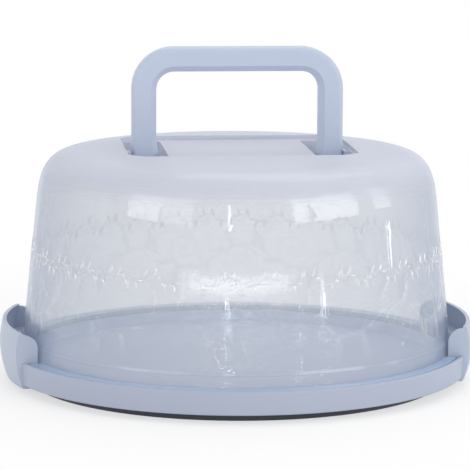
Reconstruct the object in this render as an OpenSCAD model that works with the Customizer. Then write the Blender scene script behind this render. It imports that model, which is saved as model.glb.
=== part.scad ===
// Round cake carrier: a tray, a clear dome lid held down by two side latches, and a folding handle.
// Origin at the centre of the tray's foot, +Z up, +X through the latches, -Y towards the viewer.

/* [Tray] */
// Outer radius at the top of the rim
rim_r = 145; // [120:1:170]
// Height of the rim above the table
rim_h = 20; // [14:0.5:30]
// How far the outer skirt draws in towards its lower edge
skirt_draw = 0.9; // [0:0.1:3]
// Height of the skirt's lower edge above the table
skirt_lift = 6; // [3:0.5:10]
// Distance of the foot ring's outer face in from the rim, at the table
foot_inset = 14; // [8:0.5:30]
// Depth of the ledge below the top of the rim
ledge_drop = 3.3; // [2:0.1:6]
// Distance of the flat cake plate's edge in from the rim
plate_inset = 16.5; // [14:0.5:40]
// Height of the cake plate above the table
plate_h = 10.4; // [6:0.2:16]
// Wall of the tray
tray_wall = 2.4; // [1.6:0.1:4]
// Number of stiffening webs under the ledge
web_count = 20; // [8:2:36]
// Thickness of one web
web_t = 1.6; // [1:0.1:3]

/* [Lid] */
// Distance of the dome's lower edge in from the rim
dome_inset = 10.3; // [9:0.1:16]
// Inward lean of the dome's wall, as a share of its height
wall_lean = 0.1037; // [0.02:0.005:0.2]
// Height above the table where the shoulder starts
shoulder_z = 114.4; // [70:0.5:170]
// Height of the shoulder's curve
shoulder_h = 28.8; // [10:0.5:50]
// Width of the shoulder's curve
shoulder_w = 32.1; // [10:0.5:60]
// Fullness of the shoulder's curve, where 2 is an ellipse
shoulder_power = 2.65; // [2:0.05:4]
// Rise of the crown inside the shoulder
crown_rise = 6.5; // [0:0.1:10]
// Wall of the lid
lid_wall = 2.2; // [1.2:0.1:4]
// How far the lid's flange stands out from the dome's lower edge
flange_out = 6.3; // [3:0.1:7]
// Thickness of the flange
flange_t = 3; // [1.5:0.1:5]
// Height of the bead round the wall above the flange's underside
bead_rise = 10; // [6:0.5:30]
// How far the bead stands out from the wall
bead_out = 0.5; // [0.2:0.1:1]
// Space left in the flange at each end of a latch
flange_slack = 1.5; // [0.5:0.1:5]

/* [Recess] */
// Space between the handle and each end of the crown's sunk panel
recess_side = 4.5; // [3:0.1:20]
// Width of the panel along Y at its floor
recess_w = 105; // [60:1:140]
// Corner radius of the panel
recess_corner = 24; // [8:1:50]
// Height of the panel's floor below the top of the shoulder
panel_drop = 0.1; // [0:0.1:3]
// Outward slope of the panel's wall for each unit of height
panel_draft = 0.35; // [0.1:0.05:1]
// Half length of one handle slot along Y at its floor
slot_half = 43; // [40:0.5:60]
// Space between the handle and its slot on the inner side
slot_in = 4.5; // [3:0.1:8]
// Space between the handle and its slot on the outer side
slot_out = 2.2; // [1.5:0.1:4]
// Corner radius of a handle slot
slot_corner = 6; // [2:0.5:10]
// Outward slope of a slot's wall for each unit of height
slot_draft = 0.1; // [0.02:0.01:0.3]
// Clearance under the handle's feet
foot_clear = 0.8; // [0.4:0.1:3]
// Half width of one bearing boss along Y
boss_half = 8; // [6:0.5:14]
// Depth of the bosses' tops below the panel's floor
boss_drop = 0.8; // [0.4:0.1:3]

/* [Handle] */
// Outer width of the handle
handle_w = 131.6; // [100:0.5:150]
// Height of the handle's top above the table
handle_top = 207.3; // [170:0.5:250]
// Width of the handle's section, seen from the front
grip_w = 15.2; // [10:0.2:22]
// Depth of the handle's section, from front to back
grip_d = 13; // [9:0.2:18]
// Rounding of the section's outer edges
grip_round = 3; // [1:0.2:5]
// Chamfer of the section's inner edges
grip_chamfer = 3.5; // [1:0.1:5]
// Inner radius of the handle's corners
bend_r = 11; // [6:0.5:30]
// Height of the handle's hinge above the table
handle_pivot_z = 139.5; // [80:0.5:200]
// Radius of the handle's trunnions
handle_pin_r = 3; // [2:0.1:4]
// Length of the handle's trunnions
handle_pin_l = 4; // [3:0.5:5]
// Extra width of each foot on its inner side
foot_flare = 1.5; // [0.5:0.1:3]
// Height of the flare above the hinge
flare_h = 12; // [6:0.5:20]

/* [Latches] */
// Half width of one latch along Y
latch_half = 51; // [40:0.5:70]
// Height of the latch's lower edge
latch_bottom = 4; // [3:0.1:8]
// Height of the latch's top edge
latch_top = 38; // [30:0.5:60]
// How far the latch bulges out past the rim
latch_bulge = 3.2; // [1:0.1:8]
// Height of the widest part of the bulge
bulge_z = 24; // [14:0.5:34]
// Radius of the bulge's curve from bottom to top
bulge_curve_r = 54; // [30:1:120]
// Wall of the latch
latch_wall = 2.2; // [1.6:0.1:3.5]
// Thickness of the latch's web over the flange
web_over_t = 2.2; // [1.5:0.1:4]
// Space between the end walls and the dome's lower edge
wall_space = 1.2; // [0.4:0.1:3]
// Space between the web and the dome's lower edge
web_space = 2.5; // [0.4:0.1:5]
// Rounding of the end walls' upper inner corner
cheek_round = 8; // [2:0.5:12]
// Distance of the latch's hinge in from the rim
latch_pivot_inset = 7.5; // [6:0.5:12]
// Height of the latch's hinge
latch_pivot_z = 8.8; // [6:0.1:14]
// Radius of the latch's trunnions
latch_pin_r = 2.2; // [1.5:0.1:3]
// Radius of the hinge lugs
lug_r = 4.3; // [3:0.1:6]
// Distance of each lug's inner face from the middle of the latch
lug_y = 14; // [8:0.5:30]
// Thickness of one lug, and of the latch's rib beside it
lug_t = 4; // [2.5:0.1:6]

/* [Fits] */
// Clearance between separate pieces that only lie beside each other
gap = 0.35; // [0.3:0.05:0.8]
// Seam between the lid's wall and its flange, drawn as nodes of their own
seam = 0.02; // [0.01:0.01:0.05]
// Radial clearance of a trunnion in its bore
running = 0.05; // [0.02:0.01:0.1]

/* [Hidden] */
$fn = 128;
far = 400;
through = 1;
foot_r = rim_r - foot_inset;
plate_r = rim_r - plate_inset;
dome_r = rim_r - dome_inset;
flange_r = dome_r + flange_out;
latch_pivot_x = rim_r - latch_pivot_inset;
ledge_z = rim_h - ledge_drop;
flange_z = ledge_z + gap;
ledge_in_r = plate_r + 3;
under_ledge_z = ledge_z - tray_wall;
lip_in_r = flange_r + gap + 0.8;
skirt_r = rim_r - skirt_draw;
foot_top_r = ledge_in_r + tray_wall;
notch_r = dome_r + gap;
shoulder_r = dome_r - wall_lean * (shoulder_z - flange_z);
crown_r = shoulder_r - shoulder_w;
crown_z = shoulder_z + shoulder_h;
panel_z = crown_z - panel_drop;
panel_end = handle_w / 2 + recess_side;
slot_floor = handle_pivot_z - grip_d / 2 - foot_clear;
latch_out_r = rim_r + latch_bulge;
bulge_centre_r = latch_out_r - bulge_curve_r;
latch_in_r = dome_r + wall_space;
latch_end = latch_half - gap;
web_over_z = flange_z + flange_t + 1.2;
lug_end = lug_y + lug_t;
rib_y = lug_y - gap - lug_t;
handle_inner = handle_w / 2 - grip_w;
post_x = handle_w / 2 - grip_w / 2;
bend_centre_x = handle_inner - bend_r;
bend_centre_z = handle_top - grip_w - bend_r;

// Shared forms

module ring_sector(half, r_in, z_low, z_high) {
    // The part of a ring that lies within the band of a latch on the +X side
    intersection() {
        difference() {
            translate([0, 0, z_low]) cylinder(h = z_high - z_low, r = far / 2);
            translate([0, 0, z_low - through]) cylinder(h = z_high - z_low + 2 * through, r = r_in);
        }
        translate([0, -half, z_low - through]) cube([far, 2 * half, z_high - z_low + 2 * through]);
    }
}

module both_sides() {
    children();
    rotate([0, 0, 180]) children();
}

module along_y(y, length) {
    // An outline drawn in X and Z, given a thickness from y towards +Y
    translate([0, y + length, 0]) rotate([90, 0, 0]) linear_extrude(length) children();
}

// Tray

module tray_section() {
    polygon([
        [0, plate_h - tray_wall],
        [foot_r - 2 * tray_wall - 1, plate_h - tray_wall],
        [foot_r - tray_wall - 0.3, plate_h - 2 * tray_wall],
        [foot_r - tray_wall, 0.6],
        [foot_r - tray_wall + 0.6, 0],
        [foot_r - 0.6, 0],
        [foot_r, 0.6],
        [foot_top_r, under_ledge_z],
        [rim_r - tray_wall - 0.3, under_ledge_z],
        [skirt_r - tray_wall + 0.2, skirt_lift],
        [skirt_r - 0.5, skirt_lift],
        [skirt_r, skirt_lift + 0.5],
        [rim_r, rim_h - 0.9],
        [rim_r - 0.7, rim_h],
        [lip_in_r + 0.6, rim_h],
        [lip_in_r, rim_h - 0.6],
        [lip_in_r - 0.2, ledge_z],
        [ledge_in_r, ledge_z],
        [plate_r, plate_h],
        [0, plate_h]
    ]);
}

module under_ring(z_low) {
    // The hollow between the foot and the skirt, as a solid to cut webs and end walls from
    rotate_extrude()
        polygon([
            [foot_top_r - 1, z_low],
            [skirt_r - tray_wall / 2, z_low],
            [rim_r - tray_wall, under_ledge_z + 0.5],
            [foot_top_r - 1, under_ledge_z + 0.5]
        ]);
}

module tray_webs() {
    intersection() {
        under_ring(skirt_lift + 2);
        for (i = [0:web_count - 1])
            rotate([0, 0, (i + 0.5) * 360 / web_count])
                translate([foot_r - 2, -web_t / 2, 0])
                    cube([rim_r - foot_r + 2, web_t, rim_h]);
    }
}

module notch_cut() {
    ring_sector(latch_half, notch_r, -through, rim_h + through);
    ring_sector(latch_half, foot_top_r + 0.2, -through, under_ledge_z);
}

module notch_ends() {
    intersection() {
        under_ring(skirt_lift);
        for (side = [-1, 1])
            translate([0, side * (latch_half + tray_wall / 2) - tray_wall / 2, 0])
                cube([far, tray_wall, rim_h]);
    }
}

module lug_outline() {
    translate([latch_pivot_x, latch_pivot_z]) circle(r = lug_r);
    polygon([
        [foot_r - tray_wall / 2, latch_pivot_z + lug_r],
        [latch_pivot_x, latch_pivot_z + lug_r],
        [latch_pivot_x, latch_pivot_z - lug_r],
        [foot_r - tray_wall / 2, latch_pivot_z - 1]
    ]);
}

module tray_lugs() {
    for (y = [lug_y, -lug_end])
        difference() {
            along_y(y, lug_t) lug_outline();
            along_y(y - through, lug_t + 2 * through)
                translate([latch_pivot_x, latch_pivot_z]) circle(r = latch_pin_r + running);
        }
}

module tray() {
    color([0.72, 0.76, 0.84]) {
        difference() {
            union() {
                rotate_extrude() tray_section();
                tray_webs();
            }
            both_sides() notch_cut();
        }
        both_sides() {
            notch_ends();
            tray_lugs();
        }
    }
}

// Lid

function shoulder(inset) = [
    for (a = [0:6:90])
        [crown_r + (shoulder_w - inset) * pow(cos(a), 2 / shoulder_power),
         shoulder_z + (shoulder_h - inset) * pow(sin(a), 2 / shoulder_power)]
];

function crown(inset) = [
    for (i = [5:-1:0])
        [crown_r * i / 6, crown_z - inset + crown_rise * (1 + cos(180 * i / 6)) / 2]
];

module dome(inset, z_low) {
    rotate_extrude()
        polygon(concat(
            [[0, z_low], [dome_r - inset + wall_lean * (flange_z - z_low), z_low]],
            shoulder(inset),
            crown(inset)
        ));
}

module plan(x_low, x_high, half_w, r) {
    // A rectangle with round corners
    translate([x_low + r, -half_w]) square([x_high - x_low - 2 * r, 2 * half_w]);
    translate([x_low, r - half_w]) square([x_high - x_low, 2 * half_w - 2 * r]);
    for (x = [x_low + r, x_high - r])
        for (y = [r - half_w, half_w - r])
            translate([x, y]) circle(r = r);
}

module hollow(x_low, x_high, half_w, corner, floor_z, draft, grow) {
    // A drafted hollow as a solid, sized at its floor; grow adds the wall round and under it
    base_z = floor_z - grow;
    reach = crown_z + crown_rise + through - base_z;
    spread = grow + draft * reach;
    intersection() {
        translate([0, far / 2, base_z]) rotate([90, 0, 0]) linear_extrude(far)
            polygon([
                [x_low - grow, 0],
                [x_high + grow, 0],
                [x_high + spread, reach],
                [x_low - spread, reach]
            ]);
        translate([-far / 2, 0, base_z]) rotate([90, 0, 90]) linear_extrude(far)
            polygon([
                [-half_w - grow, 0],
                [half_w + grow, 0],
                [half_w + spread, reach],
                [-half_w - spread, reach]
            ]);
        translate([0, 0, base_z]) linear_extrude(reach)
            plan(x_low - spread, x_high + spread, half_w + spread, corner + grow);
    }
}

module panel(grow) {
    // The shallow panel sunk into the crown
    hollow(-panel_end, panel_end, recess_w / 2, recess_corner, panel_z, panel_draft, grow);
}

module slot(grow) {
    // The slot that one foot of the handle stands and folds in, at the +X side
    hollow(handle_inner - slot_in, handle_w / 2 + slot_out, slot_half, slot_corner, slot_floor, slot_draft, grow);
}

module boss_block() {
    // The bearing beside the handle's foot, as a block that is kept from the slot's cut
    translate([handle_w / 2 + gap, -boss_half, 0])
        cube([far, 2 * boss_half, panel_z - boss_drop]);
}

module handle_bore() {
    translate([handle_w / 2, 0, handle_pivot_z])
        rotate([0, 90, 0])
            cylinder(h = handle_pin_l + gap, r = handle_pin_r + running);
}

module bead() {
    bead_z = flange_z + bead_rise;
    bead_r = dome_r - wall_lean * bead_rise;
    difference() {
        translate([0, 0, bead_z]) cylinder(h = 2, r1 = bead_r + bead_out, r2 = bead_r);
        dome(lid_wall / 2, flange_z - through);
    }
}

module lid_inside() {
    // What the lid's wall leaves free under the dome, the panel and the slots
    difference() {
        dome(lid_wall, flange_z - through);
        panel(lid_wall);
        both_sides() slot(lid_wall);
    }
}

module lid() {
    color([0.85, 0.9, 0.95, 0.5]) {
        difference() {
            dome(0, flange_z);
            lid_inside();
            panel(0);
            both_sides() {
                difference() {
                    slot(0);
                    boss_block();
                }
                handle_bore();
            }
        }
        bead();
    }
}

module flange_arc() {
    // One of the two arcs of the lid's flange, between the latches, on the +Y side
    difference() {
        translate([0, 0, flange_z]) cylinder(h = flange_t, r = flange_r);
        dome(-seam, flange_z - through);
        translate([-far / 2, -far, flange_z - through]) cube([far, far + latch_half + flange_slack, flange_t + 2]);
    }
}

module flange_front() {
    color([0.85, 0.9, 0.95, 0.5]) rotate([0, 0, 180]) flange_arc();
}

module flange_back() {
    color([0.85, 0.9, 0.95, 0.5]) flange_arc();
}

// Handle

module grip_section(width) {
    // The section, wide along X and deep along Y, with its inner side towards -X
    edge_x = width / 2 - grip_round;
    edge_y = grip_d / 2 - grip_round;
    polygon([
        [-width / 2, grip_chamfer - grip_d / 2],
        [grip_chamfer - width / 2, -grip_d / 2],
        [edge_x, -grip_d / 2],
        [width / 2, -edge_y],
        [width / 2, edge_y],
        [edge_x, grip_d / 2],
        [grip_chamfer - width / 2, grip_d / 2],
        [-width / 2, grip_d / 2 - grip_chamfer]
    ]);
    for (y = [-edge_y, edge_y])
        translate([edge_x, y]) circle(r = grip_round);
}

module handle_foot() {
    // The knuckle is the wider section turned about the hinge; the flare leads the post into it
    foot_w = grip_w + foot_flare;
    lean = atan(foot_flare / flare_h);
    translate([handle_w / 2 - foot_w / 2, 0, handle_pivot_z])
        rotate([0, 90, 0])
            rotate_extrude()
                intersection() {
                    rotate(90) grip_section(foot_w);
                    translate([0, -foot_w]) square([grip_d, 2 * foot_w]);
                }
    translate([handle_inner, 0, handle_pivot_z + flare_h])
        rotate([0, 180 + lean, 0])
            linear_extrude(flare_h - foot_flare)
                translate([-grip_w / 2, 0]) mirror([1, 0]) grip_section(grip_w);
}

module handle_half() {
    translate([post_x, 0, handle_pivot_z]) linear_extrude(bend_centre_z - handle_pivot_z) grip_section(grip_w);
    translate([bend_centre_x, 0, bend_centre_z])
        rotate([90, 0, 0])
            rotate_extrude(angle = 90)
                translate([bend_r + grip_w / 2, 0]) grip_section(grip_w);
    translate([0, 0, handle_top - grip_w / 2])
        rotate([0, 90, 0])
            linear_extrude(bend_centre_x)
                mirror([1, 0]) grip_section(grip_w);
    handle_foot();
    translate([handle_w / 2 - through, 0, handle_pivot_z])
        rotate([0, 90, 0])
            cylinder(h = through + handle_pin_l, r = handle_pin_r);
}

module handle() {
    color([0.75, 0.79, 0.87]) {
        handle_half();
        mirror([1, 0, 0]) handle_half();
    }
}

// Latches, drawn at the +X side

module bulge_solid(inset, z_low, z_high) {
    // Everything inside the latch's outer face, between two heights
    rotate_extrude()
        intersection() {
            translate([bulge_centre_r, bulge_z]) circle(r = bulge_curve_r - inset, $fn = 256);
            translate([bulge_centre_r, z_low]) square([bulge_curve_r + 1, z_high - z_low]);
        }
}

module latch_shell() {
    intersection() {
        difference() {
            bulge_solid(0, latch_bottom, latch_top);
            bulge_solid(latch_wall, latch_bottom - through, latch_top + through);
        }
        ring_sector(latch_end, latch_in_r, latch_bottom, latch_top);
    }
}

module latch_web() {
    intersection() {
        bulge_solid(latch_wall / 2, latch_bottom, latch_top);
        ring_sector(latch_end, dome_r + web_space, web_over_z, web_over_z + web_over_t);
    }
}

module cheek_section() {
    // End wall seen in a slice through the axis, with its upper inner corner rounded
    top = latch_top - 1;
    translate([latch_in_r + cheek_round, rim_h]) square([far / 8, top - rim_h]);
    translate([latch_in_r, flange_z]) square([far / 8, top - cheek_round - flange_z]);
    translate([latch_in_r + cheek_round, top - cheek_round]) circle(r = cheek_round);
    translate([foot_top_r + 6, latch_bottom]) square([far / 8, flange_z - latch_bottom]);
}

module latch_cheeks() {
    intersection() {
        bulge_solid(latch_wall / 2, latch_bottom, latch_top);
        rotate_extrude() cheek_section();
        for (y = [-latch_end, latch_end - latch_wall])
            translate([0, y, 0]) cube([far, latch_wall, far]);
    }
}

module rib_outline() {
    translate([latch_pivot_x, latch_pivot_z]) circle(r = lug_r);
    polygon([
        [latch_pivot_x, latch_pivot_z - lug_r],
        [latch_out_r, latch_pivot_z - lug_r],
        [latch_out_r, web_over_z + 1],
        [latch_pivot_x + 3, web_over_z + 1],
        [latch_pivot_x - lug_r + 1, latch_pivot_z + 2],
        [latch_pivot_x, latch_pivot_z]
    ]);
}

module latch_ribs() {
    for (side = [0, 1])
        mirror([0, side, 0]) {
            intersection() {
                bulge_solid(latch_wall / 2, latch_bottom, latch_top);
                along_y(rib_y, lug_t) rib_outline();
            }
            along_y(rib_y + lug_t - through, through + gap + lug_t)
                translate([latch_pivot_x, latch_pivot_z]) circle(r = latch_pin_r);
        }
}

module latch() {
    color([0.74, 0.78, 0.86]) {
        latch_shell();
        latch_web();
        latch_cheeks();
        latch_ribs();
    }
}

module latch_left() {
    rotate([0, 0, 180]) latch();
}

module latch_right() {
    latch();
}

tray();
lid();
flange_front();
flange_back();
handle();
latch_left();
latch_right();
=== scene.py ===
"""Looks of a round cake carrier: tray, clear dome lid with a frosted crown, side latches and handle.

Sizes are in millimetres where a name ends in nothing else, and every mesh is written in metres.
"""

from __future__ import annotations

import bisect
import logging
import math
from collections.abc import Sequence
from dataclasses import dataclass, field
from enum import Enum

import bmesh
import bpy
from mathutils import Matrix, Vector


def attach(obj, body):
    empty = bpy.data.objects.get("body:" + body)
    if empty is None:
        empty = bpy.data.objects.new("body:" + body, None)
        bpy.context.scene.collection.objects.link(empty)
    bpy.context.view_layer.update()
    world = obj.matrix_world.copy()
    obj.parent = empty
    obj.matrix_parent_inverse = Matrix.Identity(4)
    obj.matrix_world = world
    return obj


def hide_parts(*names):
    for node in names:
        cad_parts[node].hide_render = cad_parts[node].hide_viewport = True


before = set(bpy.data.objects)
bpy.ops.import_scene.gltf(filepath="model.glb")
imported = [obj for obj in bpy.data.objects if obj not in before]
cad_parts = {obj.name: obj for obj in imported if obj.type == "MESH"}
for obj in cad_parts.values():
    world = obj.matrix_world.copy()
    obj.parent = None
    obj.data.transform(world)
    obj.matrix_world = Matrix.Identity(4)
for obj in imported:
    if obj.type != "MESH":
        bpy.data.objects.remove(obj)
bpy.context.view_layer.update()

LOG = logging.getLogger("cake_carrier")
MM = 0.001
MERGE_M = 1e-6
PHOTO_PX = 470
Point = tuple[float, float, float]
Flat = tuple[float, float]


class Slot(Enum):
    """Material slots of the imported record."""

    TRAY = "tray_plastic"
    LID = "clear_plastic"
    HANDLE = "handle_plastic"
    LATCH = "latch_plastic"


class Body(Enum):
    """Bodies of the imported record."""

    TRAY = "tray"
    LID = "lid"
    HANDLE = "handle"
    LEFT = "latch_left"
    RIGHT = "latch_right"


# Small helpers


def linear(hex_colour: str) -> tuple[float, float, float, float]:
    """Turns an sRGB hex colour into linear values.

    Args:
        hex_colour: Six hex digits, without a leading mark.

    Returns:
        Linear red, green, blue and an alpha of 1.
    """
    parts = [int(hex_colour[i : i + 2], 16) / 255 for i in (0, 2, 4)]
    values = [c / 12.92 if c <= 0.04045 else ((c + 0.055) / 1.055) ** 2.4 for c in parts]
    return values[0], values[1], values[2], 1.0


def add_node(
    tree: bpy.types.NodeTree,
    kind: str,
    settings: dict[str, object] | None = None,
    values: dict[str | int, object] | None = None,
    links: dict[str | int, bpy.types.NodeSocket] | None = None,
) -> bpy.types.Node:
    """Adds a node with its settings, its socket values and the links into it.

    Args:
        tree: The node tree that gets the node.
        kind: The node's type name.
        settings: Properties of the node itself.
        values: Default values by input name or index.
        links: Sockets to link from, by input name or index.

    Returns:
        The new node.
    """
    node = tree.nodes.new(kind)
    for key, value in (settings or {}).items():
        setattr(node, key, value)
    for key, value in (values or {}).items():
        node.inputs[key].default_value = value
    for key, source in (links or {}).items():
        tree.links.new(source, node.inputs[key])
    return node


def blank_material(name: str) -> tuple[bpy.types.Material, bpy.types.NodeTree, bpy.types.Node]:
    """Makes a material with an empty tree.

    Args:
        name: The material's name.

    Returns:
        The material, its node tree and its output node.
    """
    material = bpy.data.materials.new(name)
    material.use_nodes = True
    tree = material.node_tree
    tree.nodes.clear()
    return material, tree, tree.nodes.new("ShaderNodeOutputMaterial")


def smooth_by_angle(mesh: bpy.types.Mesh, degrees: float) -> None:
    """Shades a mesh smooth and keeps its edges sharp past an angle."""
    mesh.polygons.foreach_set("use_smooth", [True] * len(mesh.polygons))
    mesh.set_sharp_from_angle(angle=math.radians(degrees))


def evaluated_copy(obj: bpy.types.Object, name: str) -> bpy.types.Object:
    """Turns an object with modifiers into a plain mesh object.

    Args:
        obj: The object whose modifiers are applied. It is removed.
        name: The new object's name.

    Returns:
        The new object, at the origin.
    """
    graph = bpy.context.evaluated_depsgraph_get()
    mesh = bpy.data.meshes.new_from_object(obj.evaluated_get(graph))
    bpy.data.objects.remove(obj)
    mesh.name = name
    made = bpy.data.objects.new(name, mesh)
    bpy.context.scene.collection.objects.link(made)
    return made


# Finishes


@dataclass(frozen=True)
class MouldedPolypropylene:
    """Injection-moulded polypropylene: satin, faintly cloudy, with a fine spark-eroded grain.

    The eye gets soft, broad highlights and a colour that is never quite flat. On the tray the plate and the
    ledge under the clear lid are painted lighter and bluer than the skirt, as painted light that comes
    through the lid, and the foot ring's lowest millimetres are painted dark grey, as painted shade under
    the skirt.
    """

    name: str
    colour: str
    shade: str
    plate_painted_light_colour: str | None = None
    inner_r: float = 142.6
    inner_fade: float = 0.4
    foot_painted_shade_colour: str = "4A4E58"
    painted_shade_top: float = 6.0
    painted_shade_fade: float = 1.5
    roughness: float = 0.42
    roughness_spread: float = 0.06
    ior: float = 1.49
    grain_mm: float = 0.9
    grain_depth_mm: float = 0.05
    grain_strength: float = 0.12
    cloud_mm: float = 60.0

    def tone_by_place(
        self, tree: bpy.types.NodeTree, place: bpy.types.NodeSocket, tone: bpy.types.NodeSocket
    ) -> bpy.types.NodeSocket:
        """Adds the plate's painted light, lighter and bluer, and the foot's painted shade to a colour.

        Args:
            tree: The material's node tree.
            place: The object coordinates.
            tone: The colour of the outside.

        Returns:
            The socket with the colour of the whole piece.
        """
        axes = add_node(tree, "ShaderNodeSeparateXYZ", links={0: place})
        flat = add_node(tree, "ShaderNodeCombineXYZ", links={0: axes.outputs["X"], 1: axes.outputs["Y"]})
        reach = add_node(
            tree, "ShaderNodeVectorMath", settings={"operation": "LENGTH"}, links={0: flat.outputs[0]}
        )
        # Painted light: inside this radius the plate is painted a lighter, bluer colour, standing in for
        # the light that comes through the clear lid.
        inside = add_node(
            tree,
            "ShaderNodeMapRange",
            values={
                "From Min": self.inner_r * MM,
                "From Max": (self.inner_r + self.inner_fade) * MM,
                "To Min": 1.0,
                "To Max": 0.0,
            },
            links={"Value": reach.outputs["Value"]},
        )
        blue = add_node(
            tree,
            "ShaderNodeMix",
            settings={"data_type": "RGBA"},
            values={7: linear(self.plate_painted_light_colour)},
            links={0: inside.outputs[0], 6: tone},
        )
        # Painted shade: the foot ring's lowest millimetres are painted dark grey, standing in for the shade
        # under the skirt.
        low = add_node(
            tree,
            "ShaderNodeMapRange",
            values={"From Min": (self.painted_shade_top - self.painted_shade_fade) * MM, "From Max": self.painted_shade_top * MM},
            links={"Value": axes.outputs["Z"]},
        )
        return add_node(
            tree,
            "ShaderNodeMix",
            settings={"data_type": "RGBA"},
            values={6: linear(self.foot_painted_shade_colour)},
            links={0: low.outputs[0], 7: blue.outputs[2]},
        ).outputs[2]

    def build(self) -> bpy.types.Material:
        """Builds the material.

        Returns:
            A material with cloudy colour, uneven gloss and a fine moulded grain.
        """
        material, tree, output = blank_material(self.name)
        place = add_node(tree, "ShaderNodeTexCoord")
        cloud = add_node(
            tree,
            "ShaderNodeTexNoise",
            values={"Scale": 1 / (self.cloud_mm * MM), "Detail": 3.0, "Roughness": 0.55},
            links={"Vector": place.outputs["Object"]},
        )
        # The grain is drawn about three times as coarse as the real one, so that it shows at all.
        grain = add_node(
            tree,
            "ShaderNodeTexNoise",
            values={"Scale": 1 / (self.grain_mm * MM), "Detail": 2.0, "Roughness": 0.6},
            links={"Vector": place.outputs["Object"]},
        )
        tone = add_node(
            tree,
            "ShaderNodeMix",
            settings={"data_type": "RGBA"},
            values={6: linear(self.shade), 7: linear(self.colour)},
            links={0: cloud.outputs["Fac"]},
        ).outputs[2]
        # Only the tray gets the painted light on its plate and the painted shade on its foot.
        if self.plate_painted_light_colour:
            tone = self.tone_by_place(tree, place.outputs["Object"], tone)
        gloss = add_node(
            tree,
            "ShaderNodeMapRange",
            values={
                "To Min": self.roughness - self.roughness_spread,
                "To Max": self.roughness + self.roughness_spread,
            },
            links={"Value": cloud.outputs["Fac"]},
        )
        bump = add_node(
            tree,
            "ShaderNodeBump",
            values={"Strength": self.grain_strength, "Distance": self.grain_depth_mm * MM},
            links={"Height": grain.outputs["Fac"]},
        )
        surface = add_node(
            tree,
            "ShaderNodeBsdfPrincipled",
            values={"IOR": self.ior},
            links={"Base Color": tone, "Roughness": gloss.outputs[0], "Normal": bump.outputs[0]},
        )
        tree.links.new(surface.outputs[0], output.inputs["Surface"])
        return material


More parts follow.
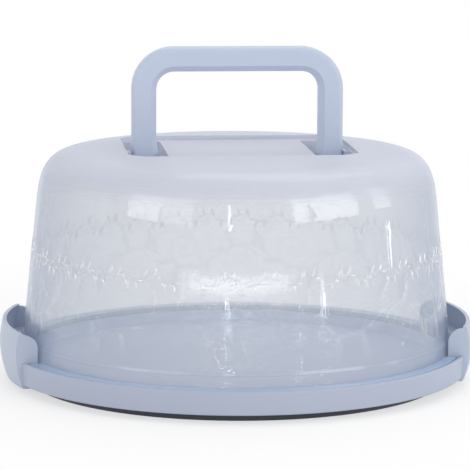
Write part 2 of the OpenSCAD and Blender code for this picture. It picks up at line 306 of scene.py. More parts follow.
@dataclass(frozen=True)
class ClearMoulding:
    """Clear styrene plastic, injection moulded: faintly milky, with a crown that the mould left frosted.

    The eye gets lamps mirrored on a see-through wall, a denser rim where the wall is seen edge on, images
    bent by the mould's flow near the relief, and a matt, nearly solid crown.
    """

    name: str
    colour: str
    edge_colour: str
    frost_colour: str
    body: float = 0.22
    edge: float = 0.62
    edge_power: float = 2.6
    frost_low: float = 121.0
    frost_high: float = 139.0
    frost_body: float = 0.8
    frost_gloss: float = 0.02
    clear_roughness: float = 0.3
    frost_roughness: float = 0.55
    ior: float = 1.49
    shine_colour: str = "F4F7FB"
    shine_roughness: float = 0.04
    gloss_low: float = 0.05
    gloss: float = 0.3
    gloss_power: float = 5.0
    flow_mm: float = 7.0
    ripple_mm: float = 0.26
    ripple_top: float = 71.0
    ripple_fade: float = 12.0
    ripple_rest: float = 0.02

    def density(
        self, tree: bpy.types.NodeTree, facing: bpy.types.NodeSocket, frost: bpy.types.NodeSocket
    ) -> bpy.types.NodeSocket:
        """Adds the share of the surface that isn't see-through.

        Args:
            tree: The material's node tree.
            facing: 0 where the surface faces the eye and 1 where it is seen edge on.
            frost: 0 where the plastic is clear and 1 where it is frosted.

        Returns:
            The socket with the share.
        """
        soft = add_node(
            tree,
            "ShaderNodeMath",
            settings={"operation": "POWER"},
            values={1: self.edge_power},
            links={0: facing},
        )
        clear = add_node(
            tree,
            "ShaderNodeMapRange",
            values={"To Min": self.body, "To Max": self.edge},
            links={"Value": soft.outputs[0]},
        )
        return add_node(
            tree, "ShaderNodeMix", values={3: self.frost_body}, links={0: frost, 2: clear.outputs[0]}
        ).outputs[0]

    def tone(
        self, tree: bpy.types.NodeTree, facing: bpy.types.NodeSocket, frost: bpy.types.NodeSocket
    ) -> bpy.types.NodeSocket:
        """Adds the colour: bluer where the wall is seen edge on, and the frost's own above.

        Args:
            tree: The material's node tree.
            facing: 0 where the surface faces the eye and 1 where it is seen edge on.
            frost: 0 where the plastic is clear and 1 where it is frosted.

        Returns:
            The socket with the colour.
        """
        wall = add_node(
            tree,
            "ShaderNodeMix",
            settings={"data_type": "RGBA"},
            values={6: linear(self.colour), 7: linear(self.edge_colour)},
            links={0: facing},
        )
        return add_node(
            tree,
            "ShaderNodeMix",
            settings={"data_type": "RGBA"},
            values={7: linear(self.frost_colour)},
            links={0: frost, 6: wall.outputs[2]},
        ).outputs[2]

    def build(self) -> bpy.types.Material:
        """Builds the material.

        Returns:
            A see-through material with a thin gloss, whose density follows the angle and the frosting.
        """
        material, tree, output = blank_material(self.name)
        place = add_node(tree, "ShaderNodeTexCoord")
        axes = add_node(tree, "ShaderNodeSeparateXYZ", links={0: place.outputs["Object"]})
        frost = add_node(
            tree,
            "ShaderNodeMapRange",
            settings={"interpolation_type": "SMOOTHSTEP"},
            values={"From Min": self.frost_low * MM, "From Max": self.frost_high * MM},
            links={"Value": axes.outputs["Z"]},
        ).outputs[0]
        facing = add_node(tree, "ShaderNodeLayerWeight", values={"Blend": 0.5}).outputs["Facing"]
        flow = add_node(
            tree,
            "ShaderNodeTexNoise",
            values={"Scale": 1 / (self.flow_mm * MM), "Detail": 2.0, "Distortion": 1.0},
            links={"Vector": place.outputs["Object"]},
        )
        # The relief leaves the wall wavy up to its own height, which bends the lamps' images there.
        wavy = add_node(
            tree,
            "ShaderNodeMapRange",
            settings={"interpolation_type": "SMOOTHSTEP"},
            values={
                "From Min": (self.ripple_top - self.ripple_fade) * MM,
                "From Max": self.ripple_top * MM,
                "To Min": 1.0,
                "To Max": self.ripple_rest,
            },
            links={"Value": axes.outputs["Z"]},
        )
        ripple = add_node(
            tree,
            "ShaderNodeBump",
            values={"Distance": self.ripple_mm * MM},
            links={"Height": flow.outputs["Fac"], "Strength": wavy.outputs[0]},
        )
        rough = add_node(
            tree,
            "ShaderNodeMapRange",
            values={"To Min": self.clear_roughness, "To Max": self.frost_roughness},
            links={"Value": frost},
        )
        plastic = add_node(
            tree,
            "ShaderNodeBsdfPrincipled",
            values={"IOR": self.ior},
            links={
                "Base Color": self.tone(tree, facing, frost),
                "Roughness": rough.outputs[0],
                "Alpha": self.density(tree, facing, frost),
            },
        )
        shine = add_node(
            tree,
            "ShaderNodeBsdfGlossy",
            values={"Roughness": self.shine_roughness, "Color": linear(self.shine_colour)},
            links={"Normal": ripple.outputs[0]},
        )
        glance = add_node(
            tree,
            "ShaderNodeMath",
            settings={"operation": "POWER"},
            values={1: self.gloss_power},
            links={0: facing},
        )
        mirror = add_node(
            tree,
            "ShaderNodeMapRange",
            values={"To Min": self.gloss_low, "To Max": self.gloss},
            links={"Value": glance.outputs[0]},
        )
        share = add_node(
            tree, "ShaderNodeMix", values={3: self.frost_gloss}, links={0: frost, 2: mirror.outputs[0]}
        )
        both = add_node(
            tree,
            "ShaderNodeMixShader",
            links={0: share.outputs[0], 1: plastic.outputs[0], 2: shine.outputs[0]},
        )
        tree.links.new(both.outputs[0], output.inputs["Surface"])
        return material


@dataclass(frozen=True)
class Finishes:
    """The materials of the whole carrier."""

    tray: bpy.types.Material
    lid: bpy.types.Material
    flange: bpy.types.Material
    relief: bpy.types.Material
    border: bpy.types.Material
    handle: bpy.types.Material
    latch: bpy.types.Material


def make_finishes() -> Finishes:
    """Builds every material once.

    Returns:
        The carrier's materials.
    """
    return Finishes(
        # Satin skirt, with painted light that makes the plate under the lid lighter and bluer, and painted
        # shade on the foot.
        tray=MouldedPolypropylene("Moulded_polypropylene_tray", "B1B9CB", "ACB4C7", "BCCCE8").build(),
        # See-through wall under a frosted crown.
        lid=ClearMoulding("Clear_moulding_frosted_crown", "DEE1E8", "A6B5CC", "D3D7E5").build(),
        # The flange is seen edge on, through its whole width, so it looks denser and bluer than the wall.
        flange=ClearMoulding("Clear_moulding_flange", "D0E2FB", "BCD4F6", "D0E2FB", body=0.6).build(),
        # Low relief that only its edges give away.
        relief=ClearMoulding(
            "Clear_moulding_relief", "EEF1F5", "EEF1F5", "EEF1F5", body=0.05, edge=0.4
        ).build(),
        # Polished scrolls that catch the lamps.
        border=ClearMoulding(
            "Clear_moulding_polished_border",
            "F4F2F4",
            "F4F2F4",
            "F4F2F4",
            body=0.16,
            edge=0.5,
            gloss_low=0.22,
        ).build(),
        # The satin of the tray's skirt, a shade lighter.
        handle=MouldedPolypropylene("Moulded_polypropylene_handle", "C0CADD", "B9C3D7").build(),
        latch=MouldedPolypropylene("Moulded_polypropylene_latch", "BAC3D5", "B3BCCF").build(),
    )


# Mesh drafting


@dataclass
class Draft:
    """A mesh being drawn ring by ring, in millimetres."""

    points: list[Point] = field(default_factory=list)
    faces: list[tuple[int, ...]] = field(default_factory=list)

    def ring(self, points: Sequence[Point]) -> list[int]:
        """Adds a ring of points.

        Args:
            points: The points, in order.

        Returns:
            Their numbers in the mesh.
        """
        first = len(self.points)
        self.points.extend(points)
        return list(range(first, first + len(points)))

    def bridge(self, low: Sequence[int], high: Sequence[int], closed: bool = True) -> None:
        """Fills the band between two rings of the same length.

        Args:
            low: The first ring.
            high: The next ring.
            closed: Whether the rings run all the way round.
        """
        count = len(low)
        for i in range(count if closed else count - 1):
            j = (i + 1) % count
            self.faces.append((low[i], low[j], high[j], high[i]))

    def loft(self, rings: Sequence[Sequence[int]], closed: bool = True) -> None:
        """Bridges each ring to the next."""
        for low, high in zip(rings, rings[1:]):
            self.bridge(low, high, closed)

    def to_object(self, name: str) -> bpy.types.Object:
        """Makes the mesh object, with doubled points merged and faces turned outwards.

        Args:
            name: The object's name.

        Returns:
            The new object at the origin, in metres.
        """
        mesh = bpy.data.meshes.new(name)
        mesh.from_pydata([tuple(c * MM for c in point) for point in self.points], [], self.faces)
        work = bmesh.new()
        work.from_mesh(mesh)
        bmesh.ops.remove_doubles(work, verts=work.verts, dist=MERGE_M)
        bmesh.ops.recalc_face_normals(work, faces=work.faces)
        work.to_mesh(mesh)
        work.free()
        made = bpy.data.objects.new(name, mesh)
        bpy.context.scene.collection.objects.link(made)
        return made


# Lid


@dataclass(frozen=True)
class DomeWall:
    """The straight leaning wall of the dome, which the relief is wrapped round."""

    foot_z: float = 17.05
    foot_r: float = 134.7
    lean: float = 0.1037

    def radius(self, z: float) -> float:
        """Outer radius of the wall at a height."""
        return self.foot_r - self.lean * (z - self.foot_z)


@dataclass(frozen=True)
class Scroll:
    """One spiral of a motif, placed from the stem's crest and turned over at its trough.

    Its hand is 1 where it winds as the stem's main scroll does, and -1 the other way.
    """

    offset: Flat
    radius: float
    start_deg: float
    hand: int
    turns: float
    width: float
    taper: float


@dataclass(frozen=True)
class Leaf:
    """One leaf of a motif: its place along the stem, its heading, its size and how far its tip turns."""

    share: float
    heading: float
    length: float
    width: float
    bend: float


SCROLLS = (
    Scroll((3.0, -5.0), 12.0, 160.0, 1, 1.75, 1.5, 0.8),
    Scroll((3.0, -5.0), 1.6, 0.0, 1, 1.0, 1.2, 0.0),
    Scroll((-14.0, 19.0), 6.5, -70.0, -1, 1.4, 1.3, 0.6),
)
LEAVES = (
    Leaf(0.06, 1.1, 13.0, 4.2, 0.7),
    Leaf(0.16, 1.9, 14.0, 4.6, -0.8),
    Leaf(0.34, 0.9, 16.0, 4.8, 0.9),
    Leaf(0.42, 0.2, 12.0, 3.8, -0.7),
    Leaf(0.56, -1.1, 13.0, 4.2, -0.7),
    Leaf(0.66, -1.9, 14.0, 4.6, 0.8),
    Leaf(0.84, -0.9, 16.0, 4.8, -0.9),
    Leaf(0.93, -0.2, 12.0, 3.8, 0.7),
)


@dataclass
class ScrollRelief:
    """Low scroll-and-leaf relief round the dome's wall, one motif repeated.

    The motif is drawn at the size of the large relief, and a finer run of it is scaled down.
    """

    name: str
    wall: DomeWall
    material: bpy.types.Material
    count: int = 11
    middle_z: float = 55.0
    height: float = 0.22
    sink: float = 0.08
    drawn_w: float = 73.6
    full_height_w: float = 1.2
    ribbon_shoulder: float = 0.55
    shoulder_rise: float = 0.8
    stem_w: float = 1.5
    stem_swing: float = 8.0
    stem_steps: int = 40
    turn_steps: int = 22
    spiral_power: float = 0.8
    spiral_eye: float = 0.6
    leaf_steps: int = 9
    leaf_power: float = 0.8
    stalk_w: float = 0.35
    tip_w: float = 0.25
    vein_w: float = 0.7
    vein_taper: float = 0.04
    smooth_deg: float = 60.0

    @property
    def motif_w(self) -> float:
        """Length of one motif round the wall, at the relief's middle height."""
        return math.tau * self.wall.radius(self.middle_z) / self.count

    def ribbon(self, draft: Draft, path: Sequence[Flat], widths: Sequence[float]) -> None:
        """Draws a low arched ribbon along a flat path.

        Args:
            draft: The mesh that gets the ribbon.
            path: Points along the ribbon's middle, along the wall and up it.
            widths: The ribbon's width at each point.
        """
        rings = []
        for i, (u, v) in enumerate(path):
            before = path[max(i - 1, 0)]
            after = path[min(i + 1, len(path) - 1)]
            along = Vector((after[0] - before[0], after[1] - before[1])).normalized()
            half = widths[i] / 2
            rise = self.height * min(1.0, widths[i] / self.full_height_w)
            section = (
                (-1.0, -self.sink),
                (-self.ribbon_shoulder, rise * self.shoulder_rise),
                (0.0, rise),
                (self.ribbon_shoulder, rise * self.shoulder_rise),
                (1.0, -self.sink),
            )
            rings.append(
                draft.ring(
                    [(u - along.y * half * side, v + along.x * half * side, out) for side, out in section]
                )
            )
        draft.loft(rings, closed=False)

    def spiral(self, centre: Flat, radius: float, start: float, hand: int, turns: float) -> list[Flat]:
        """Points of a scroll that winds inwards from its outer end.

        Args:
            centre: The scroll's centre.
            radius: Its outer radius.
            start: The angle of its outer end, in radians.
            hand: 1 to wind anticlockwise and -1 for clockwise.
            turns: How many turns it makes.

        Returns:
            The points, outer end first.
        """
        steps = int(self.turn_steps * turns)
        points = []
        for i in range(steps + 1):
            share = i / steps
            reach = radius * (1 - share) ** self.spiral_power + self.spiral_eye
            angle = start + hand * math.tau * turns * share
            points.append((centre[0] + reach * math.cos(angle), centre[1] + reach * math.sin(angle)))
        return points

    def stem_point(self, share: float) -> Flat:
        """Point of the waving stem at a share of the motif's length."""
        return self.drawn_w * share, self.stem_swing * math.sin(math.tau * share)

    def draw_leaf(self, draft: Draft, leaf: Leaf) -> None:
        """Draws a pointed leaf with a raised middle vein.

        Args:
            draft: The mesh that gets the leaf.
            leaf: The leaf's place, heading and size.
        """
        steps = self.leaf_steps
        u, v = self.stem_point(leaf.share)
        path = [(u, v)]
        for i in range(steps):
            angle = leaf.heading + leaf.bend * i / steps
            u += math.cos(angle) * leaf.length / steps
            v += math.sin(angle) * leaf.length / steps
            path.append((u, v))
        power = self.leaf_power
        widths = [
            self.stalk_w + leaf.width * math.sin(math.pi * (i / steps) ** power) ** power
            for i in range(steps)
        ]
        self.ribbon(draft, path, [*widths, self.tip_w])
        vein = path[:-2]
        self.ribbon(draft, vein, [self.vein_w - self.vein_taper * i for i in range(len(vein))])

    def draw_scroll(self, draft: Draft, scroll: Scroll, share: float, hand: int) -> None:
        """Draws one scroll beside a crest or a trough of the stem.

        Args:
            draft: The mesh that gets the scroll.
            scroll: The scroll's place and size at the crest.
            share: Where the crest or trough is along the motif.
            hand: -1 at the crest and 1 at the trough, where the scroll is turned over.
        """
        side = -hand
        centre = (self.drawn_w * share + scroll.offset[0], side * scroll.offset[1])
        start = math.radians(scroll.start_deg) * side
        path = self.spiral(centre, scroll.radius, start, hand * scroll.hand, scroll.turns)
        self.ribbon(draft, path, [scroll.width - scroll.taper * i / len(path) for i in range(len(path))])

    def draw_motif(self) -> bpy.types.Object:
        """Draws one flat motif: a waving stem, its scrolls and its leaves.

        Returns:
            The motif as a mesh object, X along the wall, Y up it and Z out of it.
        """
        draft = Draft()
        stem = [self.stem_point(i / self.stem_steps) for i in range(self.stem_steps + 1)]
        self.ribbon(draft, stem, [self.stem_w] * len(stem))
        crest, trough = 0.25, 0.75
        for share, hand in ((crest, -1), (trough, 1)):
            for scroll in SCROLLS:
                self.draw_scroll(draft, scroll, share, hand)
        for leaf in LEAVES:
            self.draw_leaf(draft, leaf)
        motif = draft.to_object(f"{self.name}_motif")
        size = self.motif_w / self.drawn_w
        motif.data.transform(Matrix.Diagonal((size, size, 1, 1)))
        return motif

    def build_tree(self) -> tuple[bpy.types.NodeTree, dict[str, str]]:
        """Builds the node tree that repeats the motif and wraps it round the wall.

        Returns:
            The tree, and each named input's identifier.
        """
        tree = bpy.data.node_groups.new(f"Wrap_{self.name}", "GeometryNodeTree")
        face = tree.interface
        face.new_socket("Geometry", in_out="INPUT", socket_type="NodeSocketGeometry")
        face.new_socket("Geometry", in_out="OUTPUT", socket_type="NodeSocketGeometry")
        names = {}
        for label, kind in (
            ("Count", "NodeSocketInt"),
            ("Motif width", "NodeSocketFloat"),
            ("Middle radius", "NodeSocketFloat"),
            ("Middle height", "NodeSocketFloat"),
            ("Lean", "NodeSocketFloat"),
            ("Material", "NodeSocketMaterial"),
        ):
            names[label] = face.new_socket(label, in_out="INPUT", socket_type=kind).identifier
        inputs = tree.nodes.new("NodeGroupInput").outputs
        step = add_node(tree, "ShaderNodeCombineXYZ", links={0: inputs["Motif width"]})
        line = add_node(
            tree,
            "GeometryNodeMeshLine",
            links={"Count": inputs["Count"], "Offset": step.outputs[0]},
        )
        copies = add_node(
            tree,
            "GeometryNodeInstanceOnPoints",
            links={"Points": line.outputs[0], "Instance": inputs["Geometry"]},
        )
        real = add_node(tree, "GeometryNodeRealizeInstances", links={0: copies.outputs[0]})
        place = add_node(tree, "GeometryNodeInputPosition")
        flat = add_node(tree, "ShaderNodeSeparateXYZ", links={0: place.outputs[0]})

        def maths(
            operation: str, first: bpy.types.NodeSocket, second: bpy.types.NodeSocket | float
        ) -> bpy.types.NodeSocket:
            """Adds a Math node.

            Args:
                operation: What the node does.
                first: Its first value.
                second: Its second value, a number where it is the same everywhere.

            Returns:
                The socket with the result.
            """
            pair = {0: first, 1: second}
            return add_node(
                tree,
                "ShaderNodeMath",
                settings={"operation": operation},
                values={k: v for k, v in pair.items() if isinstance(v, float)},
                links={k: v for k, v in pair.items() if not isinstance(v, float)},
            ).outputs[0]

        turn = maths("DIVIDE", flat.outputs["X"], inputs["Middle radius"])
        drawn_in = maths("MULTIPLY", flat.outputs["Y"], inputs["Lean"])
        wall = maths("SUBTRACT", inputs["Middle radius"], drawn_in)
        radius = maths("ADD", wall, flat.outputs["Z"])
        x = maths("MULTIPLY", radius, maths("SINE", turn, 0.0))
        y = maths("MULTIPLY", radius, maths("MULTIPLY", maths("COSINE", turn, 0.0), -1.0))
        z = maths("ADD", flat.outputs["Y"], inputs["Middle height"])
        bent = add_node(tree, "ShaderNodeCombineXYZ", links={0: x, 1: y, 2: z})
        wrapped = add_node(
            tree,
            "GeometryNodeSetPosition",
            links={"Geometry": real.outputs[0], "Position": bent.outputs[0]},
        )
        dressed = add_node(
            tree,
            "GeometryNodeSetMaterial",
            links={"Geometry": wrapped.outputs[0], "Material": inputs["Material"]},
        )
        add_node(tree, "NodeGroupOutput", links={0: dressed.outputs[0]})
        return tree, names

    def build(self) -> bpy.types.Object:
        """Wraps the repeated motif round the wall.

        Returns:
            The whole relief as one plain mesh, which rides with the lid.
        """
        motif = self.draw_motif()
        tree, names = self.build_tree()
        wrap = motif.modifiers.new("wrap", "NODES")
        wrap.node_group = tree
        sizes = {
            "Count": self.count,
            "Motif width": self.motif_w * MM,
            "Middle radius": self.wall.radius(self.middle_z) * MM,
            "Middle height": self.middle_z * MM,
            "Lean": self.wall.lean,
            "Material": self.material,
        }
        for label, value in sizes.items():
            wrap[names[label]] = value
        made = evaluated_copy(motif, self.name)
        smooth_by_angle(made.data, self.smooth_deg)
        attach(made, Body.LID.value)
        return made


# Pieces that keep the CAD shape, with moulded edges


@dataclass
class MouldedCopy:
    """A CAD node's shape with its sharp edges rounded as a mould leaves them."""

    node: str
    body: Body
    slot: Slot
    material: bpy.types.Material
    edge: float = 0.5
    segments: int = 3
    flat_deg: float = 0.04
    weld_m: float = 2e-6
    rounded_from_deg: float = 32.0
    sharp_from_deg: float = 30.0

    def reshape(self, work: bmesh.types.BMesh) -> None:
        """Changes the copied shape; a plain copy keeps it as it is."""

    def build(self) -> bpy.types.Object:
        """Copies the node, merges its loose triangles and rounds its edges.

        Returns:
            The finished piece, which stands for the node.
        """
        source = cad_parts[self.node]
        mesh = source.data.copy()
        mesh.transform(source.matrix_world)
        work = bmesh.new()
        work.from_mesh(mesh)
        bmesh.ops.remove_doubles(work, verts=work.verts, dist=self.weld_m)
        bmesh.ops.dissolve_limit(
            work,
            angle_limit=math.radians(self.flat_deg),
            verts=work.verts,
            edges=work.edges,
            use_dissolve_boundaries=False,
        )
        self.reshape(work)
        work.to_mesh(mesh)
        work.free()
        mesh.materials.clear()
        mesh.materials.append(self.material)
        piece = bpy.data.objects.new(f"{self.node}_moulded", mesh)
        bpy.context.scene.collection.objects.link(piece)
        soft = piece.modifiers.new("edges", "BEVEL")
        soft.width = self.edge * MM
        soft.segments = self.segments
        soft.limit_method = "ANGLE"
        soft.angle_limit = math.radians(self.rounded_from_deg)
        soft.use_clamp_overlap = True
        soft.harden_normals = False
        made = evaluated_copy(piece, f"{self.node}_moulded")
        smooth_by_angle(made.data, self.sharp_from_deg)
        even = made.modifiers.new("even_shading", "WEIGHTED_NORMAL")
        even.keep_sharp = True
        made = evaluated_copy(made, f"{self.node}_moulded")
        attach(made, self.body.value)
        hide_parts(self.node)
        return made


@dataclass
class LidCopy(MouldedCopy):
    """The lid with two forms fitted more closely to the photograph than its solid has them.

    The wall runs into the shoulder without a break, and the rim round the sunk panel is level. The slacks
    say how near a point has to be to a skin of the solid to count as part of it.
    """

    flat_deg: float = 0.02
    wall: float = 2.2
    dome: DomeWall = DomeWall()
    bend_z: float = 108.0
    bend_power: float = 3.4
    crown_r: float = 92.5
    crown_z: float = 143.2
    crown_rise: float = 6.5
    rim_z: float = 145.65
    panel_z: float = 143.1
    panel_half_l: float = 70.3
    panel_half_w: float = 52.5
    corner_at: Flat = (48.96, 31.16)
    corner_r: float = 24.0
    longest_edge: float = 5.0
    divisions: int = 4
    ring_step: float = 2.0
    steps: int = 120
    ring_reach: float = 0.1
    edge_slack: float = 0.02
    outline_slack: float = 0.05
    outer_slack: float = 0.6
    inner_slack: float = 0.35
    inner_gap: float = 1.5

    def outside(self, x: float, y: float) -> float:
        """How far a point lies outside the panel's outline; negative inside it.

        Args:
            x: The point's X.
            y: The point's Y.

        Returns:
            The distance in millimetres.
        """
        x, y = abs(x), abs(y)
        sides = max(x - self.panel_half_l, y - self.panel_half_w)
        across, along = x - self.corner_at[0], y - self.corner_at[1]
        if across > 0 and along > 0:
            return max(sides, math.hypot(across, along) - self.corner_r)
        return sides

    def solid_height(self, radius: float) -> float:
        """Height of the crown in the solid, which falls evenly from the middle."""
        return self.crown_z + self.crown_rise * (1 + math.cos(math.pi * min(radius / self.crown_r, 1))) / 2

    def level_height(self, x: float, y: float) -> float:
        """Height of the crown in the photograph: level at the panel's rim, then falling to the shoulder.

        Args:
            x: The point's X, inside the crown's edge.
            y: The point's Y, inside the crown's edge.

        Returns:
            The height in millimetres.
        """
        outside = max(self.outside(x, y), 0.0)
        inside = self.crown_r - math.hypot(x, y)
        share = outside / (outside + inside)
        return self.rim_z + (self.crown_z - self.rim_z) * share * share * (3 - 2 * share)

    def skin(self, point: Vector) -> float | None:
        """Tells which skin of the crown a point lies on.

        Args:
            point: The point in metres.

        Returns:
            0 on the outer skin, the wall's thickness on the inner one, and None away from the crown.
        """
        x, y, z = (c / MM for c in point)
        radius = math.hypot(x, y)
        if radius > self.crown_r - self.edge_slack:
            return None
        height = self.solid_height(radius)
        outside = self.outside(x, y)
        lowest = max(height - self.outer_slack, self.panel_z + self.outline_slack)
        if outside > -self.outline_slack and z > lowest:
            return 0.0
        if outside > self.inner_gap and abs(z - height + self.wall) < self.inner_slack:
            return self.wall
        return None

    def turn(self, radius: float, z: float) -> tuple[float, float]:
        """Direction and distance of a point of the section, seen from the middle of the bend."""
        return math.atan2(z - self.bend_z, radius - self.crown_r), math.hypot(
            z - self.bend_z, radius - self.crown_r
        )

    def shoulder_line(self, depth: float) -> list[tuple[float, float]]:
        """Section of the shoulder as directions and distances from the middle of the bend.

        Args:
            depth: How far the line lies under the outer skin.

        Returns:
            The line from the wall to the crown.
        """
        height = self.crown_z - self.bend_z
        width = self.dome.radius(self.crown_z) - self.crown_r
        outer = []
        for i in range(self.steps + 1):
            angle = math.pi / 2 * i / self.steps
            z = self.bend_z + height * math.sin(angle) ** (2 / self.bend_power)
            bite = width * (1 - max(math.cos(angle), 0.0) ** (2 / self.bend_power))
            outer.append(Vector((self.dome.radius(z) - bite, z)))
        line = []
        for i, point in enumerate(outer):
            along = (outer[min(i + 1, self.steps)] - outer[max(i - 1, 0)]).normalized()
            inner = point + Vector((-along.y, along.x)) * depth
            line.append(self.turn(inner.x, inner.y))
        return line

    def bend_shoulder(self, work: bmesh.types.BMesh) -> None:
        """Divides the upper wall and the shoulder into rings and moves them to the smooth section.

        Args:
            work: The lid's mesh, in metres.
        """
        near = self.crown_r - self.ring_reach
        for i in range(int((self.crown_z - self.bend_z) / self.ring_step) + 1):
            faces = [
                face
                for face in work.faces
                if all(math.hypot(v.co.x, v.co.y) > near * MM for v in face.verts)
            ]
            parts = {part for face in faces for part in (face, *face.edges, *face.verts)}
            level = (self.bend_z + self.ring_step * i) * MM
            bmesh.ops.bisect_plane(
                work, geom=list(parts), dist=MERGE_M, plane_co=(0, 0, level), plane_no=(0, 0, 1)
            )
        lines = [self.shoulder_line(0.0), self.shoulder_line(self.wall)]
        for vert in work.verts:
            radius = math.hypot(vert.co.x, vert.co.y) / MM
            z = vert.co.z / MM
            if radius < self.crown_r + self.edge_slack or z < self.bend_z + self.edge_slack:
                continue
            turn, reach = self.turn(radius, z)
            targets = [self.read_line(line, turn) for line in lines]
            target = min(targets, key=lambda value: abs(value - reach))
            new_radius = self.crown_r + target * math.cos(turn)
            vert.co.x *= new_radius / radius
            vert.co.y *= new_radius / radius
            vert.co.z = (self.bend_z + target * math.sin(turn)) * MM

    @staticmethod
    def read_line(line: Sequence[tuple[float, float]], turn: float) -> float:
        """Distance of a line of the section in one direction.

        Args:
            line: Directions and distances, in rising order.
            turn: The direction.

        Returns:
            The distance, between the two nearest points of the line.
        """
        place = bisect.bisect_left([direction for direction, _ in line], turn)
        low, high = line[max(place - 1, 0)], line[min(place, len(line) - 1)]
        span = high[0] - low[0]
        share = (turn - low[0]) / span if span > 0 else 0.0
        return low[1] + (high[1] - low[1]) * min(max(share, 0.0), 1.0)

    def level_rim(self, work: bmesh.types.BMesh) -> None:
        """Divides the crown's skins finely and lifts them to the level rim.

        Args:
            work: The lid's mesh, in metres.
        """
        for _ in range(self.divisions):
            long_edges = [
                edge
                for edge in work.edges
                if edge.calc_length() > self.longest_edge * MM
                and all(self.skin(vert.co) is not None for vert in edge.verts)
            ]
            bmesh.ops.subdivide_edges(work, edges=long_edges, cuts=1, use_grid_fill=True)
        for vert in work.verts:
            depth = self.skin(vert.co)
            if depth is not None:
                vert.co.z = (self.level_height(vert.co.x / MM, vert.co.y / MM) - depth) * MM

    def reshape(self, work: bmesh.types.BMesh) -> None:
        """Fits the shoulder and the crown."""
        self.bend_shoulder(work)
        self.level_rim(work)


# Studio


@dataclass(frozen=True)
class Softbox:
    """A lamp that faces the carrier, placed by its bearing, its distance and its height.

    Its bearing is measured from the camera's side towards the right of the picture.
    """

    name: str
    bearing: float
    distance_m: float
    centre_z_m: float
    width_m: float
    height_m: float
    power: float


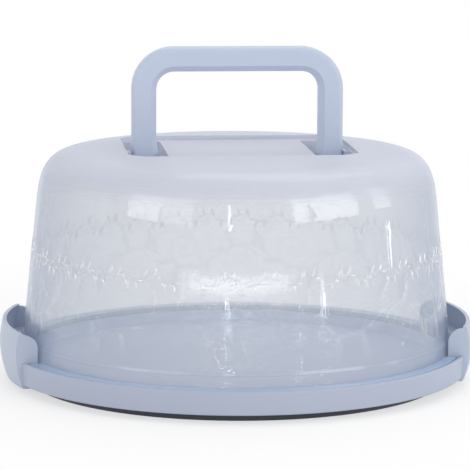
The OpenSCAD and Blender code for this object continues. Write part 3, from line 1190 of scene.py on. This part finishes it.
@dataclass
class Studio:
    """Pale floor, soft lamps and the camera of the photograph, fitted to the outlines seen in it."""

    distance: float = 1577.75
    height: float = 334.77
    azimuth: float = -6.0
    pitch: float = 8.852
    roll: float = 0.26
    focal_px: float = 2548.9
    axis_px: float = 236.6
    floor_half: float = 12.0
    shadow_reach: float = 330.0
    shadow_fade: float = 260.0
    shadow_lift: float = 0.6
    aim_z: float = 85.0
    surround: float = 0.74
    # The tall lamps light the part and are mirrored under the shoulder, the flat ones draw the streak
    # across the wall, and the small ones the glints in front of the plate.
    lamps: tuple[Softbox, ...] = (
        Softbox("window_far_left", -53.0, 2.0, 0.72, 0.7, 0.95, 3.4),
        Softbox("window_left", -33.0, 2.0, 0.72, 0.62, 0.95, 1.6),
        Softbox("window_slit", -4.0, 2.0, 0.52, 0.04, 0.6, 0.35),
        Softbox("window_right", 36.0, 2.0, 0.72, 0.33, 0.95, 2.0),
        Softbox("window_key", 57.0, 2.0, 0.72, 1.0, 0.95, 6.2),
        Softbox("window_side", 90.0, 2.0, 0.72, 0.45, 0.95, 1.9),
        Softbox("overhead", 160.0, 0.8, 1.7, 1.3, 1.1, 7.2),
        Softbox("horizon_core", 0.5, 3.0, 0.172, 2.3, 0.022, 0.4),
        Softbox("horizon", 0.5, 3.0, 0.172, 2.9, 0.022, 0.4),
        Softbox("horizon_ends", 0.5, 3.0, 0.166, 3.6, 0.03, 0.4),
        Softbox("glint_middle", -4.0, 1.7, 0.085, 0.02, 0.05, 0.06),
        Softbox("glint_right", 33.0, 1.7, 0.055, 0.02, 0.05, 0.06),
        Softbox("glint_far_right", 46.0, 1.7, 0.075, 0.03, 0.06, 0.06),
        Softbox("glint_side", 92.0, 1.7, 0.07, 0.03, 0.07, 0.07),
    )

    def build_camera(self) -> None:
        """Places the camera at the photograph's angle."""
        data = bpy.data.cameras.new("photo_camera")
        data.lens = data.sensor_width * self.focal_px / PHOTO_PX
        data.shift_x = -(self.axis_px - PHOTO_PX / 2) / PHOTO_PX
        data.clip_start = 0.05
        data.clip_end = 100.0
        camera = bpy.data.objects.new("photo_camera", data)
        bearing = math.radians(self.azimuth)
        place = Vector((math.sin(bearing), -math.cos(bearing), 0)) * self.distance * MM
        place.z = self.height * MM
        turn = (
            Matrix.Rotation(bearing, 4, "Z")
            @ Matrix.Rotation(math.radians(90 - self.pitch), 4, "X")
            @ Matrix.Rotation(math.radians(self.roll), 4, "Z")
        )
        camera.matrix_world = Matrix.Translation(place) @ turn
        bpy.context.scene.collection.objects.link(camera)
        bpy.context.scene.camera = camera

    def build_lamp(self, box: Softbox) -> None:
        """Adds one lamp, which the camera itself doesn't see.

        Args:
            box: The lamp's place, size and power.
        """
        data = bpy.data.lights.new(box.name, "AREA")
        data.shape = "RECTANGLE"
        data.size = box.width_m
        data.size_y = box.height_m
        data.energy = box.power
        lamp = bpy.data.objects.new(box.name, data)
        turn = math.radians(self.azimuth + box.bearing)
        lamp.location = (
            math.sin(turn) * box.distance_m,
            -math.cos(turn) * box.distance_m,
            box.centre_z_m,
        )
        towards = Vector((0, 0, self.aim_z * MM)) - Vector(lamp.location)
        lamp.rotation_euler = towards.to_track_quat("-Z", "Y").to_euler()
        lamp.visible_camera = False
        bpy.context.scene.collection.objects.link(lamp)

    def seen_plainly(self, tree: bpy.types.NodeTree) -> bpy.types.NodeSocket:
        """Adds a switch that is 1 for rays of the camera, gloss and clear walls.

        Args:
            tree: The node tree that gets the switch.

        Returns:
            The switch's socket.
        """
        rays = add_node(tree, "ShaderNodeLightPath")
        first = add_node(
            tree,
            "ShaderNodeMath",
            settings={"operation": "MAXIMUM"},
            links={0: rays.outputs["Is Camera Ray"], 1: rays.outputs["Is Transmission Ray"]},
        )
        return add_node(
            tree,
            "ShaderNodeMath",
            settings={"operation": "MAXIMUM"},
            links={0: first.outputs[0], 1: rays.outputs["Is Glossy Ray"]},
        ).outputs[0]

    def build_world(self) -> None:
        """Gives an even pale surround, plain white where the camera, gloss and clear walls see it."""
        world = bpy.data.worlds.new("studio")
        world.use_nodes = True
        tree = world.node_tree
        tree.nodes.clear()
        level = add_node(
            tree,
            "ShaderNodeMapRange",
            values={"To Min": self.surround, "To Max": 1.0},
            links={"Value": self.seen_plainly(tree)},
        )
        light = add_node(
            tree,
            "ShaderNodeBackground",
            values={"Color": linear("FFFFFF")},
            links={"Strength": level.outputs[0]},
        )
        output = tree.nodes.new("ShaderNodeOutputWorld")
        tree.links.new(light.outputs[0], output.inputs[0])
        bpy.context.scene.world = world

    def build_floor(self) -> None:
        """Lays a wide pale floor that keeps the soft shadow and turns plain white away from it."""
        draft = Draft()
        half = self.floor_half / MM
        draft.ring([(-half, -half, 0), (half, -half, 0), (half, half, 0), (-half, half, 0)])
        draft.faces.append((0, 1, 2, 3))
        floor = draft.to_object("floor")
        material, tree, output = blank_material("Matt_white_sheet")
        place = add_node(tree, "ShaderNodeTexCoord")
        reach = add_node(
            tree,
            "ShaderNodeVectorMath",
            settings={"operation": "LENGTH"},
            links={0: place.outputs["Object"]},
        )
        away = add_node(
            tree,
            "ShaderNodeMapRange",
            settings={"interpolation_type": "SMOOTHSTEP"},
            values={
                "From Min": self.shadow_reach * MM,
                "From Max": (self.shadow_reach + self.shadow_fade) * MM,
                "To Min": self.shadow_lift,
            },
            links={"Value": reach.outputs["Value"]},
        )
        share = add_node(
            tree,
            "ShaderNodeMath",
            settings={"operation": "MULTIPLY"},
            links={0: away.outputs[0], 1: self.seen_plainly(tree)},
        )
        sheet = add_node(
            tree,
            "ShaderNodeBsdfDiffuse",
            values={"Color": linear("FBFBFB"), "Roughness": 0.5},
        )
        white = add_node(tree, "ShaderNodeEmission", values={"Color": linear("FFFFFF"), "Strength": 1.0})
        both = add_node(
            tree,
            "ShaderNodeMixShader",
            links={0: share.outputs[0], 1: sheet.outputs[0], 2: white.outputs[0]},
        )
        tree.links.new(both.outputs[0], output.inputs["Surface"])
        floor.data.materials.append(material)

    def build(self) -> None:
        """Builds the whole studio."""
        self.build_camera()
        self.build_world()
        self.build_floor()
        for box in self.lamps:
            self.build_lamp(box)
        bpy.context.scene.view_settings.view_transform = "Standard"


def main() -> None:
    """Builds the carrier's pieces in order, and the studio round them."""
    logging.basicConfig(level=logging.INFO, format="%(name)s: %(message)s")
    finishes = make_finishes()
    wall = DomeWall()
    pieces = [
        MouldedCopy("tray", Body.TRAY, Slot.TRAY, finishes.tray, edge=0.35),
        LidCopy("lid", Body.LID, Slot.LID, finishes.lid, edge=0.45),
        MouldedCopy("flange_front", Body.LID, Slot.LID, finishes.flange, edge=0.4),
        MouldedCopy("flange_back", Body.LID, Slot.LID, finishes.flange, edge=0.4),
        ScrollRelief("lid_relief", wall, finishes.relief),
        ScrollRelief("lid_border", wall, finishes.border, count=34, middle_z=81.0, height=0.3),
        MouldedCopy("handle", Body.HANDLE, Slot.HANDLE, finishes.handle, edge=0.4),
        MouldedCopy("latch_left", Body.LEFT, Slot.LATCH, finishes.latch),
        MouldedCopy("latch_right", Body.RIGHT, Slot.LATCH, finishes.latch),
    ]
    for piece in pieces:
        LOG.info("built %s", piece.build().name)
    Studio().build()
    LOG.info("built the studio")


if __name__ == "__main__":
    main()
